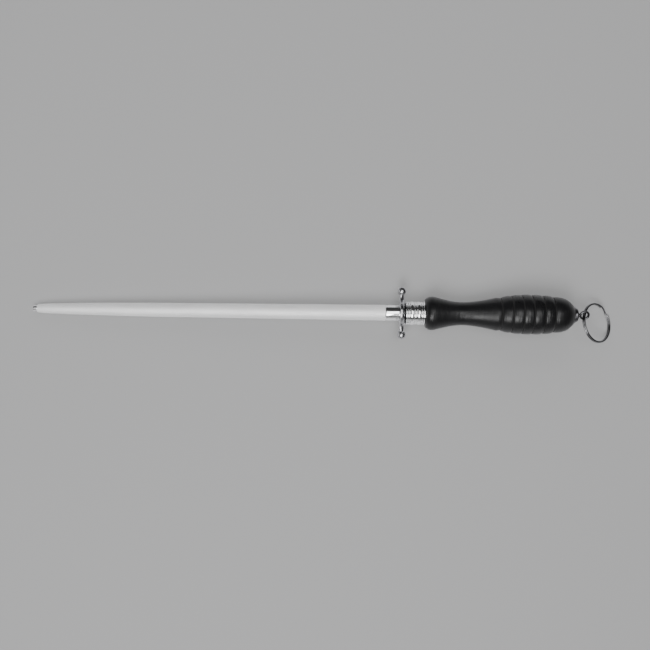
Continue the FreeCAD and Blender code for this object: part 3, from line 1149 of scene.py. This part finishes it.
first_turn = 360 - jog_span - end_gap
ring_inputs = {
    "Points": ("Int", ring_points),
    "Radius": ("Float", ring_radius * mm),
    "Layer": ("Float", (wire_height + turn_gap) / 2 * mm),
    "Start angle": ("Float", math.radians(jog_angle + jog_span / 2 + end_gap)),
    "Sweep": ("Float", math.radians(2 * first_turn + jog_span)),
    "Jog start": ("Float", math.radians(first_turn)),
    "Jog end": ("Float", math.radians(first_turn + jog_span)),
    "Wire width": ("Float", wire_width * mm),
    "Wire height": ("Float", wire_height * mm),
    "Corner": ("Float", wire_corner * mm),
    "Middle": ("Vector", tuple(ring_middle)),
    "Turn": ("Rotation", tuple(ring_turn)),
    "Material": ("Material", wire_chrome),
}
split_ring = grown("split_ring_wire", ring_tree(ring_inputs), ring_inputs, crease=50)

# %% [markdown]
# ## Finish the CAD washers
# The butt washer and the small washer inside the swivel already have their right shape in the
# CAD model. They stay as they are and only change their material.

# %% Dress the CAD nodes that stay
for node, material in (("butt_washer", nut_chrome), ("swivel_washer", inner_steel)):
    shape = frame["nodes"][node].data
    for i in range(len(shape.materials)):
        shape.materials[i] = material
    print(node, "keeps its shape,", len(shape.polygons), "faces")

# %% [markdown]
# ## Joints
# Every new piece rides on the CAD body that holds it, so that the joints move it. Each also says
# which CAD node it stands for, and which material slot its finish belongs to.

# %% Ride on the CAD bodies
riders = (
    (ribbed_rod, "steel", "sharpening_rod", "rod_steel"),
    (rod_nib, "steel", "sharpening_rod", "rod_steel"),
    (rod_neck, "steel", "sharpening_rod", "rod_steel"),
    (rod_tang, "steel", "sharpening_rod", "rod_steel"),
    (tang_thread, "steel", "sharpening_rod", "rod_steel"),
    (guard, "steel", "guard", "chrome"),
    (ferrule_sleeve, "steel", "ferrule", "chrome"),
    (ferrule_beads, "steel", "ferrule", "chrome"),
    (handle, "steel", "handle", "handle_black"),
    (cap_nut, "steel", "cap_nut", "cap_chrome"),
    (swivel_eye, "swivel", "swivel_eye", "swivel_chrome"),
    (split_ring, "ring", "split_ring", "ring_chrome"),
)
for piece, body, node, slot in riders:
    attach(piece, body)
    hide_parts(node)

# %% [markdown]
# ## Table
# The steel rests on its belly, its tip and the edge of the ring. The belly is fatter than the
# tip, so against the rod's axis the table is tilted by almost two degrees. The slope is the
# steepest one that still keeps the whole rod above the table.
#
# The table is a paler surface to the chrome that mirrors it than to the camera, as it would be
# if it ran on into a brighter room. Away from the steel it fades into the colour of the
# backdrop, so that no hard horizon crosses the picture.

# %% Lay the table
belly_x, belly_radius = crests[2]
table_gap = 0.05
half_table = 6.0
slope = min((belly_radius - radius) / (belly_x - x) for x, radius in rod_outline)
corners = []
for x, y in ((-1, -1), (1, -1), (1, 1), (-1, 1)):
    drop = (belly_radius + table_gap) * mm + (x * half_table - belly_x * mm) * slope
    corners.append((x * half_table, y * half_table, -drop))
table_mesh = bpy.data.meshes.new("table")
table_mesh.from_pydata(corners, [], [(0, 1, 2, 3)])
table = in_scene("table", table_mesh)
print("table tilted by", round(math.degrees(math.atan(slope)), 2), "degrees")

# %% [markdown]
# A Light Path node tells the camera's rays from the others. It picks between the two colours,
# and it keeps the fade out of the reflections.

# %% Paint the table
backdrop = 0.37
paint, tree, shader = finish("pale_table", (0.6, 0.6, 0.61), 0.0, Roughness=0.7)
seen = add(tree, "ShaderNodeLightPath").outputs["Is Camera Ray"]
colour = mixed_colour(tree, seen, (0.66, 0.66, 0.67), (0.4, 0.4, 0.405))
tree.links.new(colour, shader.inputs["Base Color"])
place = add(tree, "ShaderNodeTexCoord").outputs["Object"]
reach = add(tree, "ShaderNodeVectorMath", {0: place}, operation="LENGTH").outputs["Value"]
far = add(tree, "ShaderNodeMapRange", {
    "Value": reach, "From Min": 0.35, "From Max": 1.3, "To Min": 0.45}, interpolation_type="SMOOTHSTEP")
fade = math_node(tree, "MULTIPLY", far.outputs[0], seen)
paper = add(tree, "ShaderNodeEmission", {"Color": (backdrop, backdrop, backdrop, 1)})
lit = add(tree, "ShaderNodeMixShader", {0: fade, 1: shader.outputs[0], 2: paper.outputs[0]})
tree.links.new(lit.outputs[0], tree.nodes["Material Output"].inputs["Surface"])
table_mesh.materials.append(paint)
print("table finish:", paint.name)

# %% [markdown]
# ## Light
# Polished metal shows its surroundings, so the light is planned as a set of shapes that the
# chrome will mirror. The brightest soft box hangs over the table on the near side and slightly
# to the left, and a weaker one almost overhead to the right, under a wide dim ceiling. A dim
# card stands in front and a brighter one on the left. In the mirror the far side stays dark,
# and that is what draws a dark line along every bright cylinder. The ribs and the handle would
# be too dark there, so a fill lights them from the far side and is hidden from reflections.
# Brightness is given as seen from the table, so a box can change size without changing its look.

# %% Hang the soft boxes
aim = Vector((-0.06, 0, 0))


def soft_box(name, lean, side, distance, width, depth, brightness):
    """A rectangular light, lean degrees from overhead towards +Y and side degrees towards +X."""
    light = bpy.data.lights.new(name, "AREA")
    light.shape = "RECTANGLE"
    light.size = width
    light.size_y = depth
    light.energy = brightness * math.pi * width * depth
    direction = Euler((-math.radians(lean), math.radians(side), 0)).to_matrix() @ Vector((0, 0, 1))
    holder = in_scene(name, light)
    holder.location = aim + direction * distance
    holder.rotation_euler = direction.to_track_quat("Z", "Y").to_euler()
    holder.visible_camera = False
    return holder


near_box = soft_box("near_box", lean=-28, side=-7, distance=1.6, width=0.8, depth=0.8, brightness=10.0)
far_box = soft_box("far_box", lean=4, side=12, distance=1.6, width=0.75, depth=0.7, brightness=4.2)
ceiling = soft_box("ceiling", lean=-13, side=0, distance=2.0, width=2.4, depth=3.2, brightness=0.8)
front_card = soft_box("front_card", lean=-77, side=0, distance=1.8, width=3.0, depth=0.7, brightness=0.4)
left_card = soft_box("left_card", lean=0, side=-70, distance=1.8, width=2.0, depth=0.6, brightness=1.6)
shadow_fill = soft_box("shadow_fill", lean=58, side=0, distance=1.8, width=2.0, depth=1.0, brightness=2.2)
shadow_fill.visible_glossy = False
soft_boxes = (near_box, far_box, ceiling, front_card, left_card, shadow_fill)
print("soft boxes:", [box.name for box in soft_boxes])

# %% [markdown]
# The world fills what the boxes leave open. It is lighter at the horizon and dark higher up, the
# same on every side. Looked at directly it is a plain pale backdrop, which is what the paper
# behind a product table does.

# %% Set the world
world = bpy.data.worlds.new("studio")
bpy.context.scene.world = world
world.use_nodes = True
sky = world.node_tree
sky.nodes.clear()
direction = add(sky, "ShaderNodeTexCoord").outputs["Generated"]
up = add(sky, "ShaderNodeSeparateXYZ", {0: direction}).outputs["Z"]
room = add(sky, "ShaderNodeMapRange", {
    "Value": up, "From Min": 0.0, "From Max": 0.15, "To Min": 0.12, "To Max": 0.05},
    interpolation_type="SMOOTHSTEP")
seen = add(sky, "ShaderNodeLightPath").outputs["Is Camera Ray"]
level = add(sky, "ShaderNodeMix", {0: seen, 2: room.outputs[0], 3: backdrop})
background = add(sky, "ShaderNodeBackground", {"Color": level.outputs[0], "Strength": 1.0})
add(sky, "ShaderNodeOutputWorld", {"Surface": background.outputs[0]})
print("world:", world.name, "with a backdrop of", backdrop)
